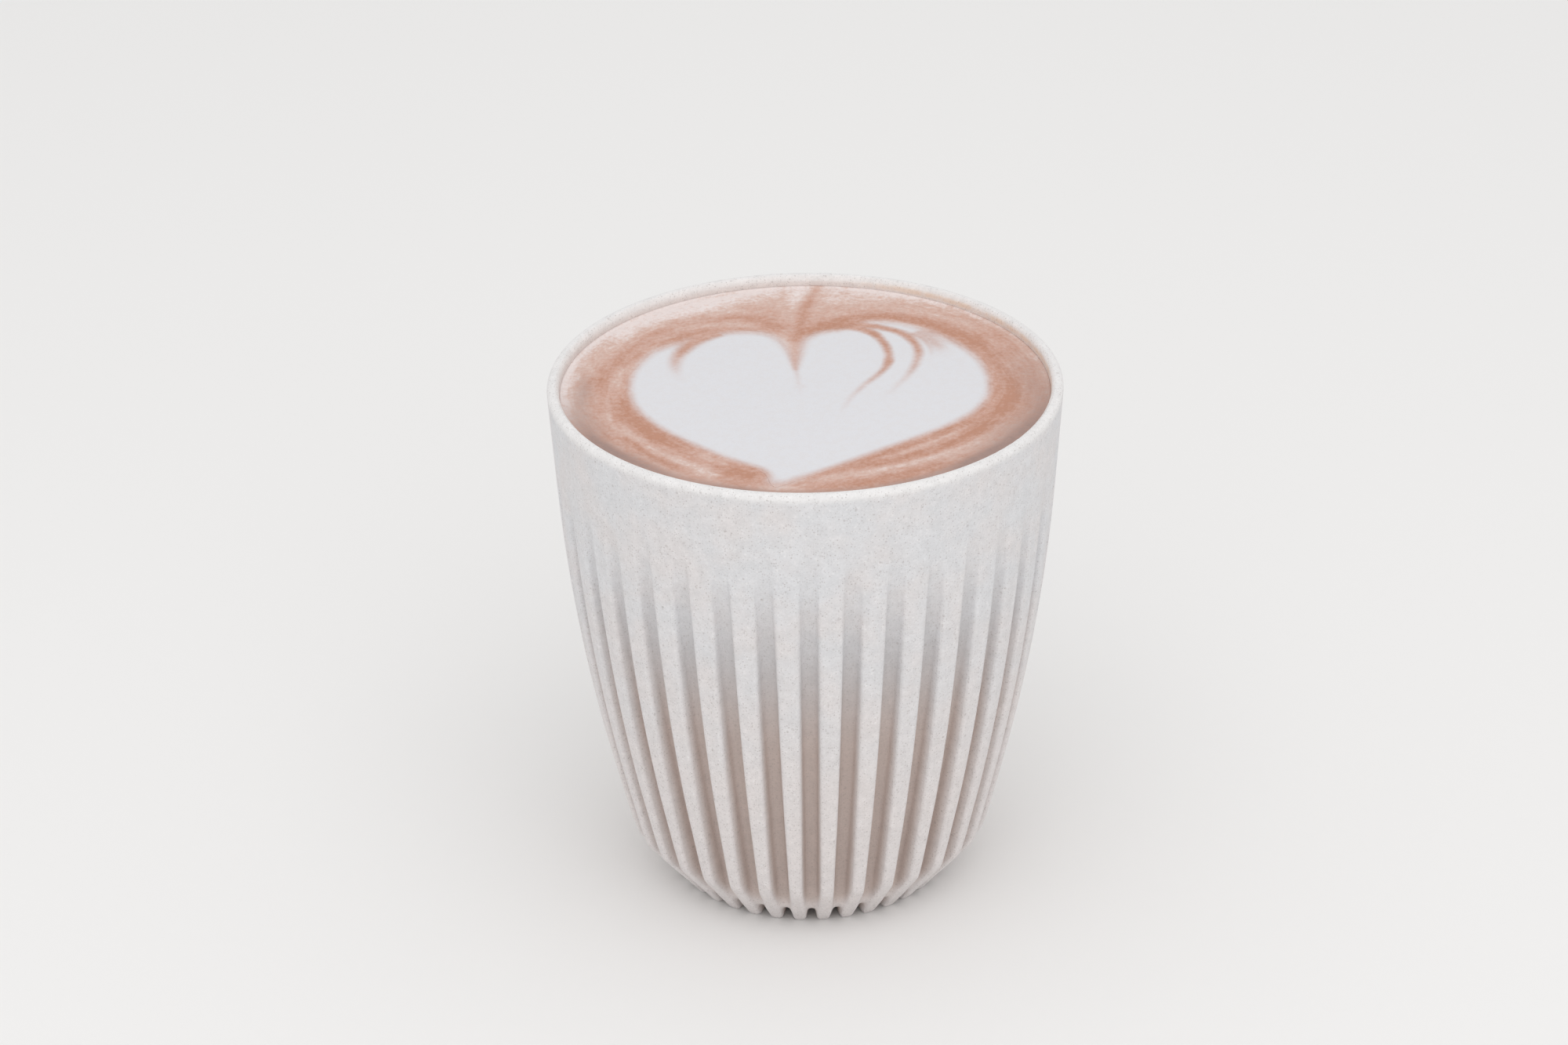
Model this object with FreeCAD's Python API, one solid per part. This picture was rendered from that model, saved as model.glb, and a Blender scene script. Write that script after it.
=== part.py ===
"""Hot cocoa in a handleless cup whose wall is moulded as a ring of upright fins.

Nodes: cup, cocoa and foam_heart. Millimetres, +Z up, origin at the centre of the ring
of feet, on the surface the cup stands on. The tip of the foam heart points to -Y.
"""
import FreeCAD, Part
import math
import os

from FreeCAD import Vector

# ---- cup: overall sizes
CUP_HEIGHT = 95.7
RIM_DIAMETER = 90.0
FIN_COUNT = 36

# ---- cup: lip and outer side, from the rim down to the ends of the fins
RIM_WALL = 2.1              # wall just below the lip
LIP_RADIUS = 1.05           # full-round lip
UPPER_TAPER = 4.0           # degrees from upright of the plain band under the rim
BAND_END_HEIGHT = 77.0      # the straight taper turns into the belly arc here
BELLY_RADIUS = 337.0
HEEL_HEIGHT = 10.6          # the belly arc turns into the heel of each fin here
HEEL_RADIUS = 5.0
FOOT_SLOPE = 39.8           # degrees from upright of the fin below its heel
FOOT_RADIUS = 1.3           # rounding where a fin meets the table
FOOT_LENGTH = 2.0           # flat contact of a fin, measured inwards
FOOT_GRINDING = 0.06        # taken off under the feet, so that they are flat there
FOOT_INNER_RADIUS = 0.8
FOOT_INNER_TURN = 66.0      # degrees that the inner end of a foot turns upwards

# ---- cup: grooves between the fins
GROOVE_TOP_HEIGHT = 85.5    # the grooves fade in from here downwards
GROOVE_FADE_RADIUS = 50.0
ROOT_TAPER = 10.4           # degrees from upright of the groove floor
ROOT_BEND_HEIGHT = 52.0     # the groove floor starts to bend inwards here
ROOT_BEND_RADIUS = 450.0
ROOT_LOWER_TAPER = 15.4
ROOT_CORNER_RADIUS = 4.0    # turn of the groove floor from the side to the underside
UNDERSIDE_HEIGHT = 3.0      # clearance of the underside above the table
GROOVE_WIDTH = 3.6          # mouth of a groove between two crests
GROOVE_LARGEST_SHARE = 0.62  # of the fin pitch, where the cup is narrow
GROOVE_FOOT_SHARE = 0.47    # of the fin pitch, at the feet
FLANK_ANGLE = 78.0          # steepest flank, in degrees from the crest
CREST_RADIUS = 0.75         # rounding of the crest edges
ROOT_RADIUS = 0.7           # rounding at the groove floor
ROUNDING_LIMIT = 0.9        # largest share of a crest or floor that its roundings take
NARROWING_LIMIT = 0.6       # largest share of a groove's mouth that its flanks take
FULL_DEPTH = 2.4            # depth from which the flanks are at their steepest
GENTLE_FLANK_ANGLE = 50.0   # flanks where a groove fades out
GENTLE_DEPTH = 1.2

# ---- cup: inside
CAVITY_WALL = 2.2           # wall behind the groove floors
CAVITY_FLOOR = 2.6          # floor thickness
CAVITY_CORNER_RADIUS = 8.0
LIP_LAND = 0.06             # how far the inner lip rounding starts below its own top

# ---- drink and milk foam
DRINK_DEPTH_BELOW_RIM = 2.2
COCOA_RING = 11.65          # left between the widest line of the heart and the wall
HEART_OFFSET = (0.75, 0.0)  # middle of the heart's width, and the height of its widest line
HEART_DEPTH = 3.0           # the foam floats as a thin layer
HEART_CROWN = 0.5           # rise of the foam at the middle of the drink
HEART_CROWN_SPAN = 36.0     # the rise has died out at this distance from the middle

# Outline of the heart in half widths: the foot of its cleft, its tip, and each side between.
HEART_CLEFT_FOOT = (-0.066, 0.32)
HEART_TIP = (-0.158, -1.162)
HEART_LEFT = [(-0.174, 0.544), (-0.376, 0.742), (-0.728, 0.656), (-1.0, 0.128),
              (-0.904, -0.288), (-0.504, -0.768), (-0.264, -0.96)]
HEART_RIGHT = [(-0.024, 0.576), (0.104, 0.762), (0.424, 0.842), (0.776, 0.698),
               (1.0, 0.16), (0.872, -0.272), (0.488, -0.672)]

# ---- how finely the fluted wall is worked out
LIP_STEPS = 5
BAND_STEPS = 2
FADE_STEPS = 6
SIDE_STEPS = 9
ARC_STEPS = 3
FLANK_STEPS = 3
SLOPE_STEPS = 5
FLAT_STEPS = 2


def tan(degrees):
    return math.tan(math.radians(degrees))


def sin(degrees):
    return math.sin(math.radians(degrees))


def cos(degrees):
    return math.cos(math.radians(degrees))


class Profile:
    """A path in the (radius, height) plane of lines and arcs, each tangent to the last.

    The heading is in degrees from straight down, and turns inwards: 0 runs down,
    90 runs towards the axis, -90 runs outwards and 180 runs up.
    """

    def __init__(self, radius, height, heading):
        self.point = (radius, height)
        self.heading = heading
        self.pieces = []

    def line(self, length):
        start = self.point
        end = (start[0] - length * sin(self.heading), start[1] - length * cos(self.heading))
        self.pieces.append(("line", start, end, length))
        self.point = end
        return self

    def line_to_height(self, height):
        return self.line((self.point[1] - height) / cos(self.heading))

    def arc(self, radius, turn):
        first = self.heading
        centre = (self.point[0] - radius * cos(first), self.point[1] + radius * sin(first))
        self.heading = first + turn
        self.point = (centre[0] + radius * cos(self.heading), centre[1] - radius * sin(self.heading))
        self.pieces.append(("arc", centre, (radius, first, turn), radius * math.radians(turn)))
        return self

    def arc_to_height(self, radius, height):
        centre_height = self.point[1] + radius * sin(self.heading)
        final = math.degrees(math.asin((centre_height - height) / radius))
        return self.arc(radius, final - self.heading)

    def length(self):
        return sum(piece[3] for piece in self.pieces)

    def at(self, distance):
        """The point that lies this far along the path."""
        index = 0
        while index < len(self.pieces) - 1 and distance > self.pieces[index][3]:
            distance -= self.pieces[index][3]
            index += 1
        kind, first, second, length = self.pieces[index]
        share = min(distance / length, 1.0)
        if kind == "line":
            return tuple(a + (b - a) * share for a, b in zip(first, second))
        radius, heading, turn = second
        angle = heading + turn * share
        return (first[0] + radius * cos(angle), first[1] - radius * sin(angle))

    def radius_at_height(self, height):
        """Radius where the path, which runs downwards all the way, passes this height."""
        for kind, first, second, length in self.pieces:
            if kind == "line":
                if height >= second[1]:
                    share = (first[1] - height) / (first[1] - second[1])
                    return first[0] + (second[0] - first[0]) * share
            else:
                radius, heading, turn = second
                if height >= first[1] - radius * sin(heading + turn):
                    return first[0] + math.sqrt(radius ** 2 - (first[1] - height) ** 2)
        return self.point[0]

    def distances(self, steps):
        """Distances along the path that part its pieces into the given numbers of steps."""
        found = [0.0]
        for piece, count in zip(self.pieces, steps):
            start = found[-1]
            found += [start + piece[3] * (i + 1) / count for i in range(count)]
        return found


def lip_profile():
    """The outer half of the lip, from its top to the plain band."""
    start_radius = RIM_DIAMETER / 2 - LIP_RADIUS
    return Profile(start_radius, CUP_HEIGHT, -90.0).arc(LIP_RADIUS, 90.0 + UPPER_TAPER)


def crest_side():
    """The outer side along the crest of a fin, from the lip down to its heel."""
    lip = lip_profile()
    side = Profile(lip.point[0], lip.point[1], UPPER_TAPER)
    side.line_to_height(BAND_END_HEIGHT)
    side.arc_to_height(BELLY_RADIUS, HEEL_HEIGHT)
    return side


def root_side():
    """The groove floor, from where the groove fades in down to the height of the heel."""
    start_radius = crest_side().radius_at_height(GROOVE_TOP_HEIGHT)
    side = Profile(start_radius, GROOVE_TOP_HEIGHT, UPPER_TAPER)
    side.arc(GROOVE_FADE_RADIUS, ROOT_TAPER - UPPER_TAPER)
    side.line_to_height(ROOT_BEND_HEIGHT)
    side.arc(ROOT_BEND_RADIUS, ROOT_LOWER_TAPER - ROOT_TAPER)
    side.line_to_height(HEEL_HEIGHT)
    return side


def crest_foot():
    """The crest of a fin below its heel: down to the table and up to the underside."""
    side = crest_side()
    foot = Profile(side.point[0], side.point[1], side.heading)
    foot.arc(HEEL_RADIUS, FOOT_SLOPE - side.heading)
    foot.line_to_height(FOOT_RADIUS * (1.0 - sin(FOOT_SLOPE)) - FOOT_GRINDING)
    foot.arc(FOOT_RADIUS, 90.0 - FOOT_SLOPE)
    foot.line(FOOT_LENGTH)
    foot.arc(FOOT_INNER_RADIUS, FOOT_INNER_TURN)
    foot.line_to_height(UNDERSIDE_HEIGHT)
    return foot


def root_foot():
    """The groove floor round the lower corner of the body and on to the inner end of a foot."""
    side = root_side()
    floor = Profile(side.point[0], side.point[1], side.heading)
    floor.line_to_height(UNDERSIDE_HEIGHT + ROOT_CORNER_RADIUS * (1.0 - sin(floor.heading)))
    floor.arc(ROOT_CORNER_RADIUS, 90.0 - floor.heading)
    floor.line(floor.point[0] - crest_foot().point[0])
    return floor


def wall_stations():
    """Matching points of crest and groove floor, from the groove's top to under the foot."""
    crest = crest_side()
    root = root_side()
    fade_height = GROOVE_TOP_HEIGHT - BAND_END_HEIGHT
    side_height = BAND_END_HEIGHT - HEEL_HEIGHT
    heights = [GROOVE_TOP_HEIGHT - fade_height * i / FADE_STEPS for i in range(FADE_STEPS)]
    heights += [BAND_END_HEIGHT - side_height * i / SIDE_STEPS for i in range(SIDE_STEPS + 1)]
    pairs = []
    for height in heights:
        pairs.append(((crest.radius_at_height(height), height), (root.radius_at_height(height), height)))
    crest_end = crest_foot()
    root_end = root_foot()
    steps = [ARC_STEPS, SLOPE_STEPS, ARC_STEPS, FLAT_STEPS, ARC_STEPS, FLAT_STEPS]
    for distance in crest_end.distances(steps)[1:]:
        share = distance / crest_end.length()
        pairs.append((crest_end.at(distance), root_end.at(share * root_end.length())))
    return pairs


def groove_width(radius):
    """Mouth of a groove where the crest circle has this radius."""
    pitch = 2.0 * math.pi * radius / FIN_COUNT
    widest = min(GROOVE_WIDTH, GROOVE_LARGEST_SHARE * pitch)
    foot_radius = crest_foot().at(crest_foot().length() - FOOT_LENGTH)[0]
    heel_radius = crest_side().point[0]
    share = min(max((radius - foot_radius) / (heel_radius - foot_radius), 0.0), 1.0)
    return share * widest + (1.0 - share) * min(widest, GROOVE_FOOT_SHARE * pitch)


def half_section(depth, mouth, pitch):
    """Half a groove's cross-section, from the middle of a crest to the middle of the floor.

    Each point is (distance from the groove's middle, share of the depth). The crest
    edge and the root are arcs, joined by a straight flank. A shallow groove has gentler
    flanks, and below GENTLE_DEPTH its section is pressed flatter, so that it fades out.
    """
    drawn = max(depth, GENTLE_DEPTH)
    steepness = min(depth / FULL_DEPTH, 1.0)
    steep = GENTLE_FLANK_ANGLE + (FLANK_ANGLE - GENTLE_FLANK_ANGLE) * steepness
    steep = max(steep, math.degrees(math.atan(drawn / (NARROWING_LIMIT * mouth / 2))))
    flank_run = drawn / tan(steep)
    crest_room = ROUNDING_LIMIT * (pitch - mouth) / 2
    root_room = ROUNDING_LIMIT * (mouth / 2 - flank_run)
    crest_radius = min(CREST_RADIUS, crest_room / tan(steep / 2))
    root_radius = min(ROOT_RADIUS, root_room / tan(steep / 2))
    edge = mouth / 2 + crest_radius * tan(steep / 2)
    floor_edge = mouth / 2 - flank_run - root_radius * tan(steep / 2)
    points = [(pitch / 2 + (edge - pitch / 2) * i / FLAT_STEPS, 0.0) for i in range(FLAT_STEPS)]
    for i in range(ARC_STEPS + 1):
        angle = steep * i / ARC_STEPS
        points.append((edge - crest_radius * sin(angle), crest_radius * (1.0 - cos(angle))))
    flank_top = points[-1]
    flank_foot = (floor_edge + root_radius * sin(steep), drawn - root_radius * (1.0 - cos(steep)))
    for i in range(1, FLANK_STEPS):
        points.append(tuple(a + (b - a) * i / FLANK_STEPS for a, b in zip(flank_top, flank_foot)))
    for i in range(ARC_STEPS + 1):
        angle = steep * (1.0 - i / ARC_STEPS)
        points.append((floor_edge + root_radius * sin(angle), drawn - root_radius * (1.0 - cos(angle))))
    points += [(floor_edge * (1.0 - (i + 1) / FLAT_STEPS), drawn) for i in range(FLAT_STEPS)]
    return [(across, drop / drawn) for across, drop in points]


def station_row(crest, root):
    """One row of points across a groove, at a station of the wall."""
    depth = math.hypot(crest[0] - root[0], crest[1] - root[1])
    pitch = 2.0 * math.pi * crest[0] / FIN_COUNT
    half = half_section(depth, groove_width(crest[0]), pitch)
    row = []
    for across, share in half:
        radius = crest[0] + (root[0] - crest[0]) * share
        height = crest[1] + (root[1] - crest[1]) * share
        angle = 2.0 * math.pi * across / (pitch * FIN_COUNT)
        row.append((radius, height, angle))
    row += [(radius, height, -angle) for radius, height, angle in reversed(row[:-1])]
    return [Vector(r * math.sin(a), -r * math.cos(a), z) for r, z, a in row]


def mean_parameters(lines):
    """Parameters from 0 to 1 whose steps follow the mean distance between the lines' points."""
    parameters = [0.0]
    for i in range(len(lines[0]) - 1):
        mean_step = sum(line[i].distanceToPoint(line[i + 1]) for line in lines) / len(lines)
        parameters.append(parameters[-1] + mean_step)
    return [value / parameters[-1] for value in parameters]


def curve_through(points, parameters):
    curve = Part.BSplineCurve()
    curve.interpolate(Points=points, Parameters=parameters)
    return curve


def surface_through(rows, across):
    """Smooth face through a grid of points: along each row, then from row to row."""
    along = mean_parameters(list(zip(*rows)))
    row_curves = [curve_through(row, across) for row in rows]
    row_poles = [curve.getPoles() for curve in row_curves]
    column_curves = [curve_through(list(poles), along) for poles in zip(*row_poles)]
    first_row = row_curves[0]
    first_column = column_curves[0]
    surface = Part.BSplineSurface()
    surface.buildFromPolesMultsKnots(
        [curve.getPoles() for curve in column_curves],
        first_row.getMultiplicities(), first_column.getMultiplicities(),
        first_row.getKnots(), first_column.getKnots(),
        False, False, first_row.Degree, first_column.Degree)
    return surface


def cut_faces(surface, across_cuts, along_cuts):
    """Faces of a surface that is cut at its knots with these numbers, both ways."""
    across = surface.getUKnots()
    along = surface.getVKnots()
    faces = []
    for left, right in zip(across_cuts, across_cuts[1:]):
        for upper, lower in zip(along_cuts, along_cuts[1:]):
            piece = surface.copy()
            piece.segment(across[left], across[right], along[upper], along[lower])
            faces.append(piece.toShape())
    return faces


def running_total(counts):
    totals = [0]
    for count in counts:
        totals.append(totals[-1] + count)
    return totals


def sector_faces():
    """One groove with half a fin on each side: its lip, its plain band and its fluted wall."""
    lip = lip_profile()
    band = Profile(lip.point[0], lip.point[1], UPPER_TAPER).line_to_height(GROOVE_TOP_HEIGHT)
    stretches = [
        [(lip.at(d), lip.at(d)) for d in lip.distances([LIP_STEPS])],
        [(band.at(d), band.at(d)) for d in band.distances([BAND_STEPS])],
        wall_stations(),
    ]
    grids = [[station_row(crest, root) for crest, root in stretch] for stretch in stretches]
    across = mean_parameters(grids[-1])
    lip_face, band_face = [surface_through(grid, across).toShape() for grid in grids[:2]]
    wall = surface_through(grids[-1], across)
    flank = [ARC_STEPS, FLANK_STEPS, ARC_STEPS]
    strips = running_total([FLAT_STEPS] + flank + [2 * FLAT_STEPS] + flank + [FLAT_STEPS])
    foot_rows = len(wall.getVKnots()) - 1 - FADE_STEPS - SIDE_STEPS - ARC_STEPS - SLOPE_STEPS
    levels = running_total([FADE_STEPS, SIDE_STEPS, ARC_STEPS + SLOPE_STEPS, foot_rows])
    return [lip_face, band_face] + cut_faces(wall, strips, levels)


def closing_disc(sectors, height):
    """Flat face that closes the ring of sectors at one height."""
    edges = []
    for sector in sectors:
        edges += [e for e in sector.Edges if abs(e.BoundBox.ZMax - height) < 1e-6
                  and e.BoundBox.ZLength < 1e-6]
    return Part.Face(Part.Wire(Part.__sortEdges__(edges)))


def fluted_body():
    """The cup's outside as one closed solid, before it is hollowed."""
    sector = sector_faces()
    faces = []
    for index in range(FIN_COUNT):
        for face in sector:
            copy = face.copy()
            copy.rotate(Vector(0, 0, 0), Vector(0, 0, 1), 360.0 * index / FIN_COUNT)
            faces.append(copy)
    faces += [closing_disc(faces, CUP_HEIGHT), closing_disc(faces, UNDERSIDE_HEIGHT)]
    shell = Part.makeShell(faces)
    shell.sewShape()
    return Part.makeSolid(Part.Shell(shell.Faces))


def cavity_wire():
    """Half outline of the hollow, from the lip down its wall to the axis and back above."""
    lip_height = CUP_HEIGHT - LIP_RADIUS
    inner_radius = RIM_DIAMETER / 2 - RIM_WALL
    floor_height = UNDERSIDE_HEIGHT + CAVITY_FLOOR
    corner_height = floor_height + CAVITY_CORNER_RADIUS * (1.0 - sin(ROOT_LOWER_TAPER))
    root = root_side()
    wall = [Vector(inner_radius, 0, lip_height)]
    fade_end = GROOVE_TOP_HEIGHT - GROOVE_FADE_RADIUS * (sin(ROOT_TAPER) - sin(UPPER_TAPER))
    for share in (0.0, 0.3, 0.6, 0.85, 1.0):
        height = fade_end + (corner_height - fade_end) * share
        wall.append(Vector(root.radius_at_height(height) - CAVITY_WALL / cos(ROOT_TAPER), 0, height))
    curve = Part.BSplineCurve()
    start_heading = Vector(-sin(UPPER_TAPER), 0, -cos(UPPER_TAPER))
    end_heading = Vector(-sin(ROOT_LOWER_TAPER), 0, -cos(ROOT_LOWER_TAPER))
    curve.interpolate(Points=wall, InitialTangent=start_heading, FinalTangent=end_heading)
    corner = Profile(wall[-1].x, wall[-1].z, ROOT_LOWER_TAPER)
    corner.arc(CAVITY_CORNER_RADIUS, 90.0 - ROOT_LOWER_TAPER)
    middle = corner.at(corner.length() / 2)
    foot = Vector(corner.point[0], 0, corner.point[1])
    lip_middle_radius = inner_radius + LIP_RADIUS
    lip_start = Vector(lip_middle_radius - math.sqrt(LIP_RADIUS ** 2 - (LIP_RADIUS - LIP_LAND) ** 2),
                       0, CUP_HEIGHT)
    lip_turn = Vector(lip_middle_radius - LIP_RADIUS * cos(45.0), 0,
                      lip_height + LIP_RADIUS * sin(45.0))
    above = CUP_HEIGHT + 5.0
    return Part.Wire([
        Part.Arc(lip_start, lip_turn, wall[0]).toShape(),
        curve.toShape(),
        Part.Arc(wall[-1], Vector(middle[0], 0, middle[1]), foot).toShape(),
        Part.LineSegment(foot, Vector(0, 0, foot.z)).toShape(),
        Part.LineSegment(Vector(0, 0, foot.z), Vector(0, 0, above)).toShape(),
        Part.LineSegment(Vector(0, 0, above), Vector(lip_start.x, 0, above)).toShape(),
        Part.LineSegment(Vector(lip_start.x, 0, above), lip_start).toShape(),
    ])


def cavity():
    """The hollow as a solid of revolution that runs out above the rim."""
    return Part.Face(cavity_wire()).revolve(Vector(0, 0, 0), Vector(0, 0, 1), 360)


def heart_outline():
    """Closed outline of the heart on the level of the drink: two lobes, a cleft and a tip."""
    level = CUP_HEIGHT - DRINK_DEPTH_BELOW_RIM
    half = RIM_DIAMETER / 2 - RIM_WALL - COCOA_RING
    sides = []
    for points in (HEART_LEFT, HEART_RIGHT):
        side = Part.BSplineCurve()
        side.interpolate([Vector(HEART_OFFSET[0] + x * half, HEART_OFFSET[1] + y * half, level)
                          for x, y in [HEART_CLEFT_FOOT] + points + [HEART_TIP]])
        sides.append(side.toShape())
    return Part.Wire(Part.__sortEdges__(sides))


def heart_prism(bottom, top):
    """The heart's outline carried straight up between two heights."""
    face = Part.Face(heart_outline())
    face.translate(Vector(0, 0, bottom - face.BoundBox.ZMin))
    return face.extrude(Vector(0, 0, top - bottom))


def build_cup():
    """Fluted wall, lip and feet in one piece, hollowed, with the feet ground flat."""
    size = 2 * RIM_DIAMETER
    table = Part.makeBox(size, size, size, Vector(-size / 2, -size / 2, -size))
    return fluted_body().cut(cavity()).cut(table)


def build_cocoa():
    """The drink: all of the hollow up to its level, with a seat for the foam heart."""
    level = CUP_HEIGHT - DRINK_DEPTH_BELOW_RIM
    below = Part.makeBox(2 * RIM_DIAMETER, 2 * RIM_DIAMETER, level,
                         Vector(-RIM_DIAMETER, -RIM_DIAMETER, 0))
    return cavity().common(below).cut(heart_prism(level - HEART_DEPTH, level + 1.0))


def build_foam_heart():
    """Layer of milk foam that floats in the drink, a little higher at the middle."""
    level = CUP_HEIGHT - DRINK_DEPTH_BELOW_RIM
    ball_radius = (HEART_CROWN_SPAN ** 2 + HEART_CROWN ** 2) / (2 * HEART_CROWN)
    ball = Part.makeSphere(ball_radius, Vector(0, 0, level + HEART_CROWN - ball_radius))
    return heart_prism(level - HEART_DEPTH, level + 2 * HEART_CROWN).common(ball)


def main():
    os.makedirs("parts", exist_ok=True)
    nodes = {"cup": build_cup, "cocoa": build_cocoa, "foam_heart": build_foam_heart}
    for name, build in nodes.items():
        shape = build()
        solid = shape.Solids[0] if len(shape.Solids) == 1 else shape
        solid.exportStep(f"parts/{name}.step")
        print(name, "solids", len(shape.Solids), "valid", solid.isValid(),
              "volume", round(solid.Volume, 1))


main()
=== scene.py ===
"""Looks of a hot cocoa with a milk-foam heart, in its fluted cup without a handle."""

import logging
import math
from dataclasses import dataclass
from enum import Enum
from typing import Any, Optional, Sequence, Union

import bpy
import numpy as np
from mathutils import Matrix, Vector


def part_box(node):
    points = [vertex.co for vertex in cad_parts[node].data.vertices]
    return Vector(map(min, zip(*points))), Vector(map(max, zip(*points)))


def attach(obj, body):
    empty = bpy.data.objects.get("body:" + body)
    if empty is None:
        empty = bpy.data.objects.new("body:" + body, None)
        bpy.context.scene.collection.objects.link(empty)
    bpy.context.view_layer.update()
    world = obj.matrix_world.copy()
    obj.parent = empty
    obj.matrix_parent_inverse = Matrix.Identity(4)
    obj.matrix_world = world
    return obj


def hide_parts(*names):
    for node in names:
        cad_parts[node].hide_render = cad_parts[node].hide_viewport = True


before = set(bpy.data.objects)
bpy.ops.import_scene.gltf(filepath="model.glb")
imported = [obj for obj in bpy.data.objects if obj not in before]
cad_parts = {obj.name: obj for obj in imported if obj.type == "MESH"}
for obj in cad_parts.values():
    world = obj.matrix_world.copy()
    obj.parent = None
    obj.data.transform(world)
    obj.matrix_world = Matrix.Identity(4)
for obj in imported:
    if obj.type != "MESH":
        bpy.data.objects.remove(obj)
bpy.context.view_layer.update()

MM = 0.001
LOG = logging.getLogger("hot_cocoa")

Pair = tuple[float, float]
Pairs = Sequence[Pair]
Socket = bpy.types.NodeSocket
Source = Union[float, Socket]
Values = Union[float, np.ndarray]
Carry = tuple[float, float, float, float]


class Piece(Enum):
    """The pieces of the part, by the names of their CAD nodes."""

    CUP = "cup"
    DRINK = "cocoa"
    HEART = "foam_heart"


# ---------------------------------------------------------------- colours and node sheets


@dataclass(frozen=True)
class Shade:
    """A colour as it is seen on a screen, in steps from 0 to 255."""

    red: float
    green: float
    blue: float

    def linear(self) -> tuple[float, float, float, float]:
        """Turn the colour into the linear values that shaders use.

        Returns:
            Linear red, green and blue, and an alpha of 1.
        """
        values = []
        for step in (self.red, self.green, self.blue):
            share = step / 255.0
            values.append(share / 12.92 if share <= 0.04045 else ((share + 0.055) / 1.055) ** 2.4)
        return (values[0], values[1], values[2], 1.0)


class NodeSheet:
    """Adds nodes to one tree and joins them."""

    def __init__(self, tree: bpy.types.NodeTree) -> None:
        """Start on a tree.

        Args:
            tree: The material's or group's node tree.
        """
        self.tree = tree

    def feed(self, socket: Socket, source: Any) -> None:
        """Set a socket to a value, or join another socket to it.

        Args:
            socket: The input to fill.
            source: A value, or an output socket.
        """
        if isinstance(source, Socket):
            self.tree.links.new(source, socket)
        else:
            socket.default_value = source

    def add(self, kind: str, settings: Optional[dict[str, Any]] = None,
            **inputs: Any) -> bpy.types.Node:
        """Add a node.

        Args:
            kind: The node's type without its "ShaderNode" prefix.
            settings: Properties of the node itself.
            inputs: Values or sockets for its inputs, by name, with _ for a space.

        Returns:
            The new node.
        """
        node = self.tree.nodes.new("ShaderNode" + kind)
        for name, value in (settings or {}).items():
            setattr(node, name, value)
        for name, source in inputs.items():
            self.feed(node.inputs[name.replace("_", " ")], source)
        return node

    def use(self, group: bpy.types.NodeTree, **inputs: Any) -> bpy.types.Node:
        """Place a node group, with its inputs given by name."""
        return self.add("Group", {"node_tree": group}, **inputs)

    def coordinates(self) -> Socket:
        """Give the object coordinates, in metres."""
        return self.add("TexCoord").outputs["Object"]

    def calc(self, operation: str, *sources: Source) -> Socket:
        """Add a Math node.

        Args:
            operation: The sum to do, as Blender names it.
            sources: The values that it takes.

        Returns:
            The node's output.
        """
        node = self.add("Math", {"operation": operation})
        for socket, source in zip(node.inputs, sources):
            self.feed(socket, source)
        return node.outputs[0]

    def product(self, first: Source, *others: Source) -> Source:
        """Multiply values.

        Args:
            first: The first value.
            others: What to multiply it by.

        Returns:
            The product's socket.
        """
        result = first
        for factor in others:
            result = self.calc("MULTIPLY", result, factor)
        return result

    def remap(self, value: Source, low: float, high: float, start: float = 0.0,
              end: float = 1.0, smooth: bool = True) -> Socket:
        """Carry a range of values onto another range and clamp it there.

        Args:
            value: What to carry over.
            low: Value that becomes start.
            high: Value that becomes end.
            start: First value of the new range.
            end: Last value of the new range.
            smooth: Ease in and out instead of a straight ramp.

        Returns:
            The node's output.
        """
        node = self.add("MapRange", {"interpolation_type": "SMOOTHSTEP" if smooth else "LINEAR"},
                        Value=value, From_Min=low, From_Max=high, To_Min=start, To_Max=end)
        return node.outputs["Result"]

    def noise(self, place: Socket, scale: Source, detail: float, roughness: float,
              distortion: float = 0.0) -> Socket:
        """Add uneven values around 0.5.

        Args:
            place: Coordinates.
            scale: Number of cells in a unit of length.
            detail: Number of finer layers.
            roughness: Weight of the finer layers.
            distortion: How far the cells are pulled about.

        Returns:
            The values' socket.
        """
        node = self.add("TexNoise", Vector=place, Scale=scale, Detail=detail, Roughness=roughness,
                        Distortion=distortion)
        return node.outputs["Fac"]

    def blend(self, share: Source, first: Any, second: Any, mode: str = "MIX") -> Socket:
        """Mix two colours.

        Args:
            share: How much of the second colour to take.
            first: A colour or a socket.
            second: A colour or a socket.
            mode: The blend mode.

        Returns:
            The mixed colour's socket.
        """
        node = self.add("Mix", {"data_type": "RGBA", "blend_type": mode})
        self.feed(node.inputs[0], share)
        self.feed(node.inputs[6], first.linear() if isinstance(first, Shade) else first)
        self.feed(node.inputs[7], second.linear() if isinstance(second, Shade) else second)
        return node.outputs[2]

    def darken(self, colour: Socket, tone: Socket) -> Socket:
        """Multiply a colour by a value.

        Args:
            colour: The colour's socket.
            tone: The value, around 1.

        Returns:
            The new colour's socket.
        """
        grey = self.add("CombineColor", Red=tone, Green=tone, Blue=tone)
        return self.blend(1.0, colour, grey.outputs["Color"], "MULTIPLY")


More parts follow.
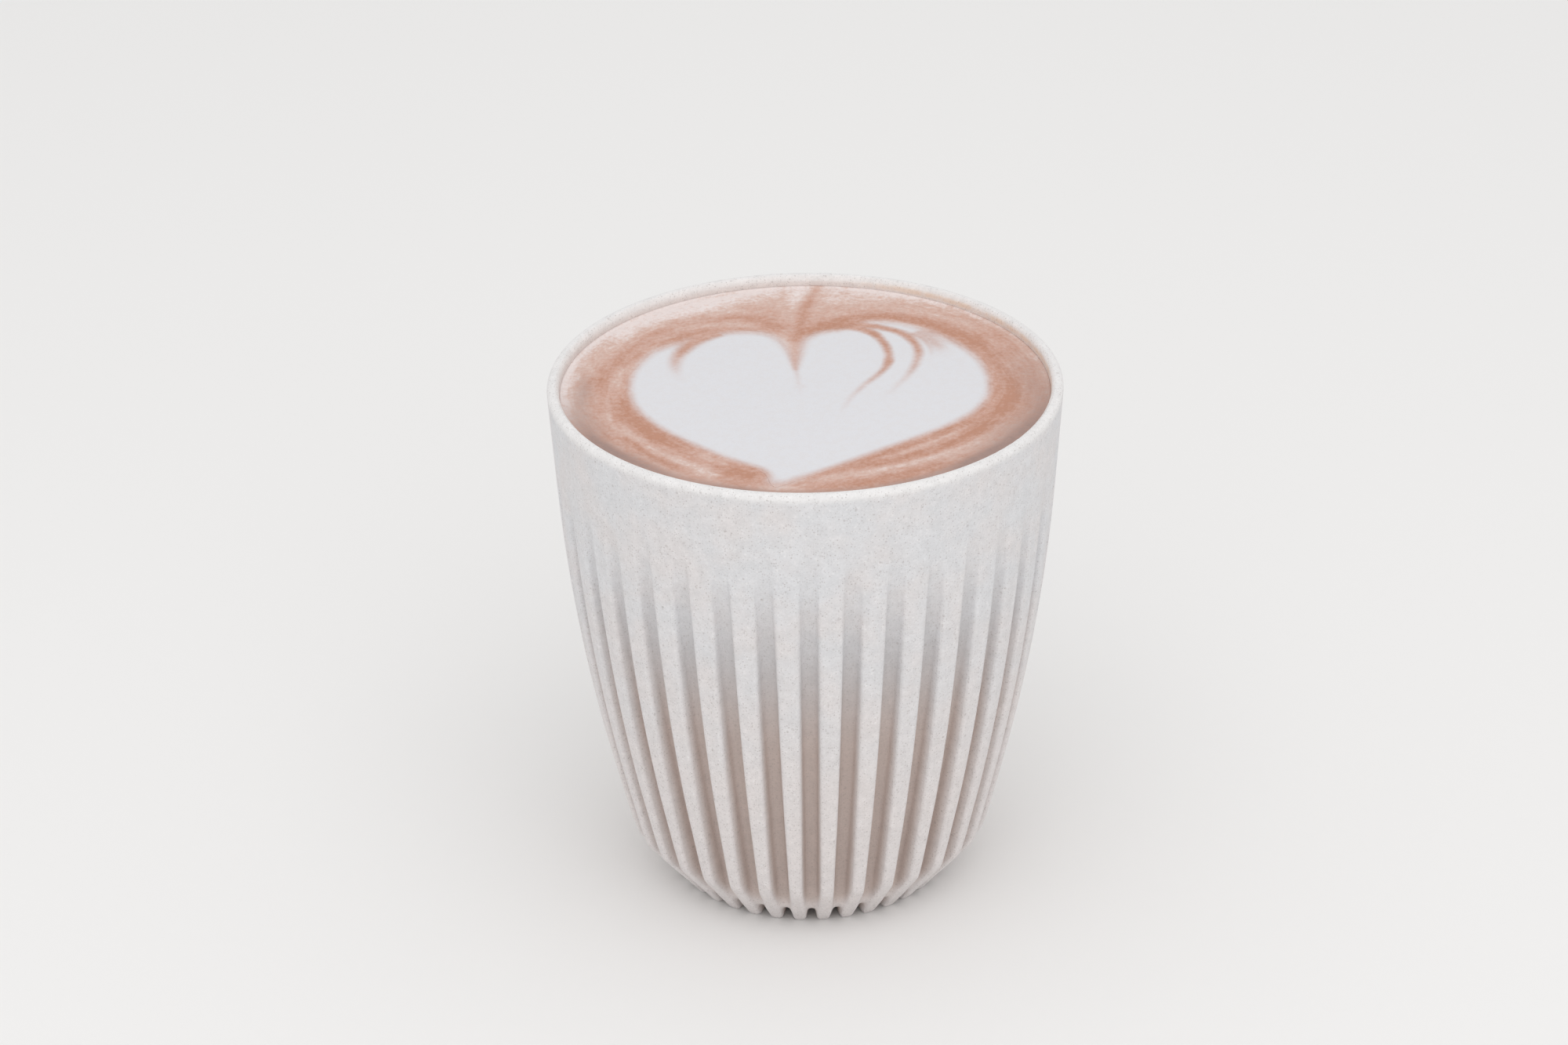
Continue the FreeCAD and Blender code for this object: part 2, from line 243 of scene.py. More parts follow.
class EffectGroups:
    """Shader node groups for the effects of the finishes, each built once."""

    def __init__(self) -> None:
        """Build the groups."""
        self.grain = self._build_grain()
        self.specks = self._build_specks()
        self.streaks = self._build_streaks()

    @staticmethod
    def _open(name: str, inputs: dict[str, Optional[float]], outputs: Sequence[str],
              ) -> tuple[NodeSheet, Any, Any]:
        """Make an empty group with named sockets.

        Args:
            name: The group's name.
            inputs: Default value of each input by name, or None for coordinates.
            outputs: Names of the outputs, which are all values.

        Returns:
            The group's sheet, the sockets of its inputs and those of its outputs.
        """
        tree = bpy.data.node_groups.new(name, "ShaderNodeTree")
        for label, default in inputs.items():
            kind = "NodeSocketVector" if default is None else "NodeSocketFloat"
            socket = tree.interface.new_socket(name=label, in_out="INPUT", socket_type=kind)
            if default is not None:
                socket.default_value = default
        for label in outputs:
            tree.interface.new_socket(name=label, in_out="OUTPUT", socket_type="NodeSocketFloat")
        given = tree.nodes.new("NodeGroupInput")
        result = tree.nodes.new("NodeGroupOutput")
        return NodeSheet(tree), given.outputs, result.inputs

    def _build_grain(self) -> bpy.types.NodeTree:
        """Fine even grain at two sizes, as on moulded fibre or milk foam.

        Returns:
            The node group, which puts out Grain around 0.5 and Height.
        """
        sheet, given, result = self._open(
            "FineGrain", {"Coordinates": None, "Frequency": 2000.0, "Softness": 0.5},
            ("Grain", "Height"))
        fine = sheet.noise(given["Coordinates"], given["Frequency"], 2.0, 0.6)
        coarse_scale = sheet.product(given["Frequency"], 0.23)
        coarse = sheet.noise(given["Coordinates"], coarse_scale, 2.0, 0.5)
        rest = sheet.calc("SUBTRACT", 1.0, given["Softness"])
        mixed = sheet.calc("ADD", sheet.product(fine, rest),
                           sheet.product(coarse, given["Softness"]))
        sheet.feed(result["Grain"], mixed)
        sheet.feed(result["Height"], fine)
        return sheet.tree

    def _build_specks(self) -> bpy.types.NodeTree:
        """Scattered specks of uneven size, one at most in each cell.

        Returns:
            The node group, which puts out Mask.
        """
        sheet, given, result = self._open(
            "Specks", {"Coordinates": None, "Cells": 1500.0, "Share": 0.3, "Size": 0.35}, ("Mask",))
        cells = sheet.add("TexVoronoi", {"feature": "F1"}, Vector=given["Coordinates"],
                          Scale=given["Cells"], Randomness=1.0).outputs
        parts = sheet.add("SeparateColor", Color=cells["Color"]).outputs
        present = sheet.calc("LESS_THAN", parts["Red"], given["Share"])
        growth = sheet.remap(parts["Green"], 0.0, 1.0, 0.45, 1.25, smooth=False)
        reach = sheet.product(given["Size"], growth)
        near = sheet.calc("SUBTRACT", 1.0, sheet.calc("DIVIDE", cells["Distance"], reach))
        depth = sheet.remap(parts["Blue"], 0.0, 1.0, 0.35, 1.0, smooth=False)
        sheet.feed(result["Mask"], sheet.product(sheet.remap(near, 0.0, 0.55), present, depth))
        return sheet.tree

    def _build_streaks(self) -> bpy.types.NodeTree:
        """Long thin streaks that follow the way the drink was poured.

        Returns:
            The node group, which puts out Streak and Mottle, both around 0.
        """
        sheet, given, result = self._open(
            "PouredStreaks", {"Flow": None, "Fineness": 1.0}, ("Streak", "Mottle"))
        fine = sheet.noise(given["Flow"], given["Fineness"], 4.0, 0.62, 0.35)
        broad_scale = sheet.product(given["Fineness"], 0.37)
        broad = sheet.noise(given["Flow"], broad_scale, 2.0, 0.5, 0.8)
        sheet.feed(result["Streak"], sheet.calc("SUBTRACT", fine, 0.5))
        sheet.feed(result["Mottle"], sheet.calc("SUBTRACT", broad, 0.5))
        return sheet.tree


def new_material(name: str) -> tuple[bpy.types.Material, NodeSheet, bpy.types.Node]:
    """Start a material with a Principled shader.

    Args:
        name: The material's name.

    Returns:
        The material, its sheet and its Principled node.
    """
    material = bpy.data.materials.new(name)
    material.use_nodes = True
    return material, NodeSheet(material.node_tree), material.node_tree.nodes["Principled BSDF"]


# ---------------------------------------------------------------- finishes


@dataclass(frozen=True)
class Flecks:
    """Scattered flecks: cells in a metre, share of cells with one, size in cells, strength."""

    cells: float
    share: float
    size: float
    strength: float

    def mask(self, sheet: NodeSheet, effects: EffectGroups, place: Socket) -> Source:
        """Place the flecks in a material.

        Args:
            sheet: The material's sheet.
            effects: The shared node groups.
            place: Object coordinates.

        Returns:
            The mask's socket.
        """
        specks = sheet.use(effects.specks, Coordinates=place, Cells=self.cells, Share=self.share,
                           Size=self.size)
        return sheet.product(specks.outputs["Mask"], self.strength)


@dataclass(frozen=True)
class HuskFinish:
    """The cup's moulded husk composite: matte off-white with fine darker specks.

    A pair holds the values between which a mask grows from nothing to full, and four values
    carry the first two onto the last two.
    """

    body: Shade = Shade(219, 219, 221)
    warm: Shade = Shade(224, 217, 215)
    fleck: Shade = Shade(152, 140, 135)
    pale_fleck: Shade = Shade(238, 236, 236)
    residue: Shade = Shade(228, 192, 158)
    # Painted shade in the grooves between the fins; the lower one is warmer and takes over towards the
    # bottom.
    groove_painted_shade: Shade = Shade(200, 198, 199)
    low_groove_painted_shade: Shade = Shade(199, 184, 177)
    inner_tint: Shade = Shade(228, 214, 207)
    # Painted highlight along the top of the lip.
    lip_painted_highlight: Shade = Shade(235, 233, 232)
    small_flecks: Flecks = Flecks(2700.0, 0.62, 0.45, 0.42)
    large_flecks: Flecks = Flecks(1000.0, 0.16, 0.30, 0.36)
    light_flecks: Flecks = Flecks(1700.0, 0.4, 0.45, 0.45)
    grain_frequency: float = 2300.0
    grain_softness: float = 0.45
    grain_tone: Carry = (0.30, 0.70, 0.90, 1.07)
    grain_roughness: Carry = (0.3, 0.7, 0.55, 0.72)
    bump_strength: float = 0.35
    bump_height: float = 0.12 * MM
    cloud_frequency: float = 95.0
    cloud_warmth: Carry = (0.35, 0.72, 0.0, 0.6)
    low_warmth: Carry = (75.0 * MM, 20.0 * MM, 0.0, 0.8)
    low_groove_span: Pair = (66.0 * MM, 40.0 * MM)
    groove_depths: Pair = (0.15 * MM, 2.4 * MM)
    wall_depths: Pair = (5.5 * MM, 5.0 * MM)
    lip_depths: Pair = (2.0 * MM, 0.6 * MM)
    lip_strength: float = 0.8
    inner_radii: Pair = (43.7 * MM, 43.1 * MM)
    inner_fade: float = 1.0 * MM
    inner_strength: float = 0.7
    residue_radii: Pair = (43.5 * MM, 43.1 * MM)
    residue_start: Pair = (0.2 * MM, 0.8 * MM)
    residue_end: Pair = (1.7 * MM, 1.15 * MM)
    residue_side: Pair = (18.0 * MM, 36.0 * MM)
    residue_turn: float = 0.35
    crumb_frequency: float = 420.0
    crumb_share: Carry = (0.30, 0.62, 0.25, 1.0)
    residue_strength: float = 0.45
    crest_outline: Pairs = ((0.0, 23.9), (2.0, 25.8), (6.0, 29.1), (9.0, 31.6), (10.6, 32.4),
                            (20.0, 34.8), (40.0, 39.1), (60.0, 42.15), (80.0, 44.0), (95.0, 44.95))

    def build(self, effects: EffectGroups, drink_level: float,
              rim_height: float) -> bpy.types.Material:
        """Make the cup's material.

        Args:
            effects: The shared node groups.
            drink_level: Height of the drink, in metres.
            rim_height: Height of the rim, in metres.

        Returns:
            The material.
        """
        material, sheet, shader = new_material("husk_composite")
        place = sheet.coordinates()
        axes = sheet.add("SeparateXYZ", Vector=place).outputs
        height = axes["Z"]
        radius = sheet.calc("SQRT", sheet.calc("ADD", sheet.product(axes["X"], axes["X"]),
                                               sheet.product(axes["Y"], axes["Y"])))
        grain = sheet.use(effects.grain, Coordinates=place, Frequency=self.grain_frequency,
                          Softness=self.grain_softness).outputs
        clouds = sheet.noise(place, self.cloud_frequency, 3.0, 0.55)
        # Painted shade for the grooves, warmer towards the bottom.
        groove_painted_shade = sheet.blend(sheet.remap(height, *self.low_groove_span),
                                   self.groove_painted_shade, self.low_groove_painted_shade)
        above_drink = sheet.remap(height, drink_level - self.inner_fade, drink_level)
        tinted = sheet.product(sheet.remap(radius, *self.inner_radii), above_drink,
                               self.inner_strength)
        lip_span = [rim_height - depth for depth in self.lip_depths]
        colour: Any = self.body
        for mask, tint in (
                (sheet.remap(clouds, *self.cloud_warmth), self.warm),
                (sheet.remap(height, *self.low_warmth), self.warm),
                (self.light_flecks.mask(sheet, effects, place), self.pale_fleck),
                # painted shade in the grooves
                (self._groove(sheet, height, radius), groove_painted_shade),
                (tinted, self.inner_tint),
                # painted highlight on the lip
                (sheet.remap(height, *lip_span, 0.0, self.lip_strength), self.lip_painted_highlight),
                (self.small_flecks.mask(sheet, effects, place), self.fleck),
                (self.large_flecks.mask(sheet, effects, place), self.fleck)):
            colour = sheet.blend(mask, colour, tint)
        colour = sheet.darken(colour, sheet.remap(grain["Grain"], *self.grain_tone, smooth=False))
        residue = self._residue(sheet, place, axes, radius, drink_level)
        sheet.feed(shader.inputs["Base Color"], sheet.blend(residue, colour, self.residue))
        sheet.feed(shader.inputs["Roughness"], sheet.remap(grain["Grain"], *self.grain_roughness))
        bump = sheet.add("Bump", Strength=self.bump_strength, Distance=self.bump_height,
                         Height=grain["Height"])
        sheet.feed(shader.inputs["Normal"], bump.outputs["Normal"])
        return material

    def _groove(self, sheet: NodeSheet, height: Socket, radius: Socket) -> Source:
        """Mask of how deep a point lies in a groove between two fins, where shade is painted.

        Args:
            sheet: The material's sheet.
            height: Height of the point, in metres.
            radius: Distance of the point from the axis, in metres.

        Returns:
            The mask's socket.
        """
        top = self.crest_outline[-1][0]
        widest = 50.0
        curve = sheet.add("FloatCurve", Value=sheet.calc("DIVIDE", height, top * MM))
        points = curve.mapping.curves[0].points
        while len(points) < len(self.crest_outline):
            points.new(0.5, 0.5)
        for point, (z, r) in zip(points, self.crest_outline):
            point.location = (z / top, r / widest)
            point.handle_type = "VECTOR"
        curve.mapping.update()
        crest = sheet.product(curve.outputs["Value"], widest * MM)
        depth = sheet.calc("SUBTRACT", crest, radius)
        return sheet.product(sheet.remap(depth, *self.groove_depths),
                             sheet.remap(depth, *self.wall_depths))

    def _residue(self, sheet: NodeSheet, place: Socket, axes: Any, radius: Socket,
                 level: float) -> Source:
        """Mask of the thin broken line that cocoa has left on the inner wall.

        Args:
            sheet: The material's sheet.
            place: Object coordinates.
            axes: The same coordinates as X, Y and Z.
            radius: Distance from the axis, in metres.
            level: Height of the drink, in metres.

        Returns:
            The mask's socket.
        """
        rise = sheet.calc("SUBTRACT", axes["Z"], level)
        across = sheet.calc("ADD", axes["X"], sheet.product(axes["Y"], self.residue_turn))
        broken = sheet.noise(place, self.crumb_frequency, 3.0, 0.6)
        return sheet.product(sheet.remap(rise, *self.residue_start),
                             sheet.remap(rise, *self.residue_end),
                             sheet.remap(radius, *self.residue_radii),
                             sheet.remap(across, *self.residue_side),
                             sheet.remap(broken, *self.crumb_share), self.residue_strength)


@dataclass(frozen=True)
class FoamFinish:
    """The top of the drink: brown cocoa foam with milk foam poured into it."""

    deep: Shade = Shade(186, 133, 108)
    ring: Shade = Shade(200, 157, 140)
    pale: Shade = Shade(212, 182, 170)
    palest: Shade = Shade(232, 220, 217)
    # Greyish brown of the thin foam by the wall, also used for the painted shadow of the wall on the
    # drink.
    wall_shadow_and_thin_foam: Shade = Shade(158, 130, 121)
    milk: Shade = Shade(223, 223, 227)
    stain: Shade = Shade(216, 214, 216)
    ring_stops: Carry = (0.0, 0.3, 0.62, 1.0)
    bubbles: Flecks = Flecks(1500.0, 0.35, 0.42, 0.6)
    grain_frequency: float = 2600.0
    grain_softness: float = 0.5
    grain_tone: Carry = (0.3, 0.7, 0.95, 1.045)
    grain_stain: Carry = (0.40, 0.62, 0.0, 0.75)
    spot_frequency: float = 1250.0
    clot_frequency: float = 430.0
    spot_strength: float = 0.75
    clot_strength: float = 0.5
    streak_strength: float = 0.55
    mottle_strength: float = 0.35
    edge_raggedness: float = 1.6
    milk_roughness: Carry = (0.0, 1.0, 0.42, 0.58)
    specular: float = 0.35
    bump_strength: float = 0.3
    bump_height: float = 0.1 * MM

    def build(self, effects: EffectGroups) -> bpy.types.Material:
        """Make the material, which reads the "pale", "dusk", "milk" and "flow" attributes.

        Args:
            effects: The shared node groups.

        Returns:
            The material.
        """
        material, sheet, shader = new_material("poured_foam")
        shader.inputs["Specular IOR Level"].default_value = self.specular
        place = sheet.coordinates()
        stored = {name: sheet.add("Attribute", {"attribute_name": name}).outputs
                  for name in ("pale", "wall_shadow_and_thin_foam", "milk", "flow")}
        wall_shadow_and_thin_foam, milk = stored["wall_shadow_and_thin_foam"]["Fac"], stored["milk"]["Fac"]
        streaks = sheet.use(effects.streaks, Flow=stored["flow"]["Vector"], Fineness=1.0).outputs
        grain = sheet.use(effects.grain, Coordinates=place, Frequency=self.grain_frequency,
                          Softness=self.grain_softness).outputs
        spotted = self._spotted(sheet, place)
        shift = sheet.calc("ADD", sheet.product(streaks["Streak"], self.streak_strength),
                           sheet.product(streaks["Mottle"], self.mottle_strength))
        level = sheet.calc("ADD", sheet.calc("ADD", stored["pale"]["Fac"], shift), spotted)
        # Thin foam by the wall and the painted shadow of the wall, broken up by the spots.
        thin = sheet.calc("MULTIPLY_ADD", wall_shadow_and_thin_foam, spotted, wall_shadow_and_thin_foam)
        ring = sheet.blend(sheet.remap(thin, 0.0, 1.0, smooth=False),
                           self._ring_colour(sheet, level), self.wall_shadow_and_thin_foam)
        stained = sheet.remap(grain["Grain"], *self.grain_stain)
        white = sheet.blend(stained, self.milk, self.stain)
        blur = sheet.product(milk, sheet.calc("SUBTRACT", 1.0, milk))
        ragged = sheet.calc("MULTIPLY_ADD", streaks["Streak"], self.edge_raggedness, spotted)
        edge = sheet.calc("MULTIPLY_ADD", blur, ragged, milk)
        cover = sheet.remap(edge, 0.0, 1.0, smooth=False)
        tone = sheet.remap(grain["Grain"], *self.grain_tone, smooth=False)
        sheet.feed(shader.inputs["Base Color"], sheet.darken(sheet.blend(cover, ring, white), tone))
        sheet.feed(shader.inputs["Roughness"], sheet.remap(cover, *self.milk_roughness))
        height = sheet.calc("SUBTRACT", grain["Height"], self.bubbles.mask(sheet, effects, place))
        bump = sheet.add("Bump", Strength=self.bump_strength, Distance=self.bump_height,
                         Height=height)
        sheet.feed(shader.inputs["Normal"], bump.outputs["Normal"])
        return material

    def _ring_colour(self, sheet: NodeSheet, level: Socket) -> Socket:
        """Turn the paleness of the brown foam into a colour.

        Args:
            sheet: The material's sheet.
            level: The paleness, from 0 to 1.

        Returns:
            The colour's socket.
        """
        node = sheet.add("ValToRGB", Fac=level)
        elements = node.color_ramp.elements
        shades = (self.deep, self.ring, self.pale, self.palest)
        while len(elements) < len(shades):
            elements.new(0.5)
        for element, place, shade in zip(elements, self.ring_stops, shades):
            element.position = place
            element.color = shade.linear()
        return node.outputs["Color"]

    def _spotted(self, sheet: NodeSheet, place: Socket) -> Socket:
        """Fine spots and larger clots in the brown foam.

        Args:
            sheet: The material's sheet.
            place: Object coordinates.

        Returns:
            The socket of a value around 0.
        """
        spots = sheet.calc("SUBTRACT", sheet.noise(place, self.spot_frequency, 3.0, 0.62), 0.5)
        clots = sheet.calc("SUBTRACT", sheet.noise(place, self.clot_frequency, 3.0, 0.6, 0.6), 0.5)
        return sheet.calc("MULTIPLY_ADD", spots, self.spot_strength,
                          sheet.product(clots, self.clot_strength))


@dataclass(frozen=True)
class StageFinish:
    """The plain pale floor."""

    colour: Shade = Shade(240, 239, 238)
    roughness: float = 0.8
    specular: float = 0.2

    def build(self) -> bpy.types.Material:
        """Make the floor's material.

        Returns:
            The material.
        """
        material, _, shader = new_material("plain_floor")
        shader.inputs["Base Color"].default_value = self.colour.linear()
        shader.inputs["Roughness"].default_value = self.roughness
        shader.inputs["Specular IOR Level"].default_value = self.specular
        return material


# ---------------------------------------------------------------- lines on the drink


@dataclass(frozen=True)
class Plan:
    """Points on the drink, seen from above, in millimetres."""

    x: np.ndarray
    y: np.ndarray

    @property
    def radius(self) -> np.ndarray:
        """Distances of the points from the axis."""
        return np.hypot(self.x, self.y)

    @property
    def angle(self) -> np.ndarray:
        """Directions of the points from the axis, in radians."""
        return np.arctan2(self.y, self.x)


def smooth_share(low: Values, high: Values, value: np.ndarray) -> np.ndarray:
    """Ease from 0 to 1 between two values, which may fall as well as rise.

    Args:
        low: Value at which the result leaves 0.
        high: Value at which the result reaches 1.
        value: The values to ease.

    Returns:
        The eased shares.
    """
    share = np.clip((value - low) / (high - low), 0.0, 1.0)
    return share * share * (3.0 - 2.0 * share)


def rounded_path(points: Pairs, steps: int = 6) -> np.ndarray:
    """Smooth path through points.

    Args:
        points: The points to pass through.
        steps: Samples for each span.

    Returns:
        The sampled path, one point in each row.
    """
    knots = np.array(points, dtype=float)
    padded = np.vstack([2 * knots[0] - knots[1], knots, 2 * knots[-1] - knots[-2]])
    share = np.linspace(0.0, 1.0, steps, endpoint=False)[:, None]
    spans = []
    for before, start, end, after in zip(padded, padded[1:], padded[2:], padded[3:]):
        spans.append(0.5 * (2 * start + (end - before) * share
                            + (2 * before - 5 * start + 4 * end - after) * share ** 2
                            + (3 * start - before - 3 * end + after) * share ** 3))
    return np.vstack(spans + [knots[-1]])


def nearest_on_path(path: np.ndarray, at: Plan) -> tuple[np.ndarray, np.ndarray]:
    """Distance of points to a path, and how far along the path they are.

    Args:
        path: The path's points.
        at: The points.

    Returns:
        Distances, and shares of the path's length.
    """
    best = np.full(at.x.shape, np.inf)
    along = np.zeros(at.x.shape)
    lengths = np.hypot(*(path[1:] - path[:-1]).T)
    start_length = 0.0
    for start, end, length in zip(path, path[1:], lengths):
        step = (end - start) / length
        run = np.clip((at.x - start[0]) * step[0] + (at.y - start[1]) * step[1], 0.0, length)
        gap = np.hypot(at.x - start[0] - run * step[0], at.y - start[1] - run * step[1])
        closer = gap < best
        best = np.where(closer, gap, best)
        along = np.where(closer, (start_length + run) / lengths.sum(), along)
        start_length += length
    return best, along


def inside_path(path: np.ndarray, at: Plan) -> np.ndarray:
    """Whether points lie inside a closed path.

    Args:
        path: The closed path's points.
        at: The points.

    Returns:
        True for each point inside.
    """
    inside = np.zeros(at.x.shape, dtype=bool)
    for start, end in zip(path, np.roll(path, -1, axis=0)):
        if start[1] != end[1]:
            spans = (start[1] > at.y) != (end[1] > at.y)
            reach = start[0] + (at.y - start[1]) * (end[0] - start[0]) / (end[1] - start[1])
            inside ^= spans & (at.x < reach)
    return inside


@dataclass(frozen=True)
class Stroke:
    """A line pulled through the foam. Lengths are in millimetres, fades in shares of its length."""

    points: Pairs
    width: float
    strength: float
    end_width: float
    soft: float
    fade_in: float
    fade_out: float

    def cover(self, at: Plan) -> np.ndarray:
        """How strongly the stroke covers each point.

        Args:
            at: The points.

        Returns:
            Values from 0 to the stroke's strength.
        """
        result = np.zeros(at.x.shape)
        path = rounded_path(self.points)
        reach = max(self.width, self.end_width) + 2 * self.soft
        low, high = path.min(axis=0) - reach, path.max(axis=0) + reach
        near = (at.x > low[0]) & (at.x < high[0]) & (at.y > low[1]) & (at.y < high[1])
        gap, along = nearest_on_path(path, Plan(at.x[near], at.y[near]))
        half = (self.width + (self.end_width - self.width) * along) / 2
        ends = smooth_share(0.0, self.fade_in, along) * smooth_share(0.0, self.fade_out, 1.0 - along)
        result[near] = self.strength * ends * (1.0 - smooth_share(-self.soft, self.soft, gap - half))
        return result


@dataclass(frozen=True)
class Patch:
    """A soft-edged oval area of another tone. Lengths are in millimetres, its turn in degrees."""

    centre: Pair
    radii: Pair
    strength: float
    turn: float = 0.0

    def cover(self, at: Plan) -> np.ndarray:
        """How strongly the patch covers each point.

        Args:
            at: The points.

        Returns:
            Values from 0 to the patch's strength.
        """
        angle = math.radians(self.turn)
        x, y = at.x - self.centre[0], at.y - self.centre[1]
        u = x * math.cos(angle) + y * math.sin(angle)
        v = y * math.cos(angle) - x * math.sin(angle)
        return self.strength * np.exp(-(u / self.radii[0]) ** 2 - (v / self.radii[1]) ** 2)


@dataclass(frozen=True)
class PouredPattern:
    """The heart and the lines round it, seen from above. Lengths are in millimetres.

    A pair gives the values between which an effect grows from nothing to its full strength.
    """

    wall_radius: float = 42.9
    edge_softness: float = 1.25
    tip_softness: float = 0.7
    tip_rows: Pair = (-31.0, -36.0)
    tip_sides: Pair = (8.0, 3.0)
    back_softness: float = 0.5
    back_rows: Pair = (6.0, 20.0)
    ring_tone: float = 0.26
    outer_tone: float = 0.10
    outer_radii: Pair = (34.0, 42.0)
    # Paler foam along the back wall, with painted light that lifts the shade where the drink meets the
    # wall.
    back_wall_foam_and_painted_light: float = 0.28
    back_wall_insets: Pair = (2.4, 0.3)
    back_wall_rows: Pair = (-12.0, 14.0)
    brown_pull: float = 0.35
    line_tone: float = 0.18
    line_depths: Pair = (-0.4, 1.6)
    # A painted shadow of the wall on the drink, in a band inside the wall at the front.
    wall_line: float = 0.54
    front_rows: Pair = (4.0, -30.0)
    front_inset: float = 3.0
    front_width: float = 2.4
    front_fade: float = 5.0
    front_waves: Sequence[tuple[float, float, float]] = ((0.20, 7.0, 1.0), (0.16, 17.0, 2.0))
    flow_turns: float = 6.5
    flow_bands: float = 15.0
    flow_slack: float = 0.5
    right_side: Pairs = ((-0.8, 13), (-0.2, 18), (1, 21.2), (3.4, 23.2), (6.6, 24.2), (9.4, 26),
        (12.4, 27.2), (16.4, 26.8), (20.6, 24.4), (25, 20.2), (28.4, 15.6), (30.8, 10.4), (31.9, 4.5),
        (31.9, -1), (30.6, -6), (27.8, -11), (22.4, -16.2), (16.4, -20.8), (10.2, -25.4), (6.4, -28.3),
        (3, -30.7), (0.2, -32.6), (-2.4, -34.4), (-4.2, -35.8))
    left_side: Pairs = ((-6.3, -35), (-6.2, -32.6), (-7.6, -30.2), (-10, -28.4), (-13.4, -25.9),
        (-18.6, -21.2), (-23.4, -16), (-26.8, -11.2), (-29.3, -5.8), (-30.4, 0), (-30.2, 6),
        (-28.6, 12), (-26, 16.8), (-22.4, 19.6), (-18, 21.4), (-14, 23.2), (-10.2, 23.7), (-7, 22.9),
        (-4.8, 20.8), (-3.4, 17.8), (-2.5, 14.2), (-2, 11))
    tip: Pair = (-5.4, -36.6)
    cleft_foot: Pair = (-1.5, 8.4)
    # In each stroke: points, width, strength, end width, softness, fade-in and fade-out.
    cuts: Sequence[Stroke] = (
        Stroke(((4.4, 26.8), (9, 25.2), (12.4, 22.4), (13.8, 19.4)), 3.4, 0.98, 1.1, 0.9, 0.02, 0.3),
        Stroke(((10.4, 24.6), (12.8, 21.6), (14.3, 17.4), (14.9, 13), (14.5, 8.8), (12.8, 5), (10.4, 1),
            (8.2, -3.4), (6.6, -8), (5, -13.4)), 1.7, 0.98, 0.45, 0.75, 0.05, 0.7),
        Stroke(((15, 13), (14.7, 9.8), (13.8, 7)), 1.7, 0.85, 1, 0.8, 0.4, 0.5),
        Stroke(((8, 27), (12.6, 25.4), (16.2, 23.4), (18.6, 20.6), (19.9, 17), (20.2, 13.4),
            (19.5, 9.2), (18.1, 4.8), (15.8, 0), (12.8, -6.4)), 2.3, 0.98, 0.5, 0.8, 0.02, 0.66),
        Stroke(((-15.6, 24.2), (-18.4, 21.4), (-20.8, 17.8), (-22.4, 13.8), (-22.8, 10), (-22.2, 5.6),
            (-21.2, 2)), 3.6, 0.98, 0.6, 1.2, 0.02, 0.62),
        Stroke(((-2.2, 20), (-1.8, 10), (-1.2, 4), (-0.7, -6)), 1, 0.42, 0.5, 0.6, 0.02, 0.75),
        Stroke(((-2.4, 20), (-1.9, 15), (-1.6, 11)), 2.2, 0.34, 0.6, 1.1, 0.02, 0.6),
        Stroke(((19.4, 23.4), (22.2, 20.2), (23.8, 16.4), (24.2, 12)), 3.4, 0.62, 1.6, 1.8, 0.1, 0.6),
        Stroke(((15.6, 24.6), (19, 22.6), (21.4, 19.2), (22.4, 14.6), (22, 9.6)),
            0.7, 0.35, 0.5, 0.6, 0.1, 0.5),
        Stroke(((-27.6, 17.6), (-24.6, 19.6), (-20.6, 20.8)), 3, 0.55, 3, 2, 0.2, 0.2),
        Stroke(((-5.4, -38.4), (-5.2, -36.2), (-4.4, -33.6)), 3.4, 0.5, 2, 2, 0.02, 0.6),
    )
    pale_lines: Sequence[Stroke] = (
        Stroke(((-0.6, 43), (-1.4, 37), (-2.4, 31), (-3.4, 25)), 2, 0.34, 1, 1.8, 0.02, 0.6),
        Stroke(((6.4, 43), (5, 37), (3, 31)), 2, 0.18, 0.9, 1.6, 0.02, 0.6),
        Stroke(((-32.8, -9.6), (-30.8, -15), (-28.2, -19.4), (-25, -23.8), (-20.8, -27.6),
            (-17, -30.2)), 1.3, 0.36, 1.8, 0.9, 0.2, 0.15),
        Stroke(((-34.6, -6), (-33.6, -12), (-31.4, -17.6)), 0.8, 0.22, 0.8, 0.6, 0.3, 0.3),
        Stroke(((-19, -23.4), (-15.6, -26.4), (-12.6, -28.4)), 2.2, 0.22, 2, 1.3, 0.3, 0.2),
        Stroke(((-19.4, -29.6), (-16.6, -31.6), (-14.4, -33.4)), 3, 0.34, 2.4, 1.6, 0.3, 0.25),
        Stroke(((28.8, -13), (26, -16.8), (21.2, -21.2), (16, -25), (10.5, -28.2)),
            1, 0.3, 0.9, 0.7, 0.25, 0.3),
        Stroke(((32.6, -8), (29.6, -15.2), (24.6, -20.4)), 0.6, 0.22, 0.6, 0.5, 0.3, 0.3),
        Stroke(((38, -8.5), (35.6, -13.6), (31.4, -19.4), (26.4, -24.2), (20.8, -27.6), (14.5, -30.6),
            (8, -32.8), (1.5, -34.8), (-3.5, -36.4)), 3.2, 0.24, 1.8, 1.4, 0.3, 0.08),
        Stroke(((30, -19.6), (24, -24.8), (16, -29.4), (8, -32.4)), 0.7, 0.22, 0.8, 0.6, 0.2, 0.2),
        Stroke(((10.6, 27.4), (14.8, 27), (19, 25.6), (23, 22.8)), 2, 0.34, 2, 1.4, 0.2, 0.3),
        Stroke(((12, 32.4), (20, 31.4), (27, 27.8), (33, 21.6)), 1.5, 0.22, 1, 1.4, 0.2, 0.3),
        Stroke(((-6, 25.4), (-11, 26.8), (-16, 26.8), (-22, 24)), 1.8, 0.22, 1.6, 1.3, 0.3, 0.3),
        Stroke(((-29.4, 12), (-32.2, 8), (-33, 3), (-32.4, -1)), 2.4, 0.26, 2, 1.8, 0.3, 0.3),
    )
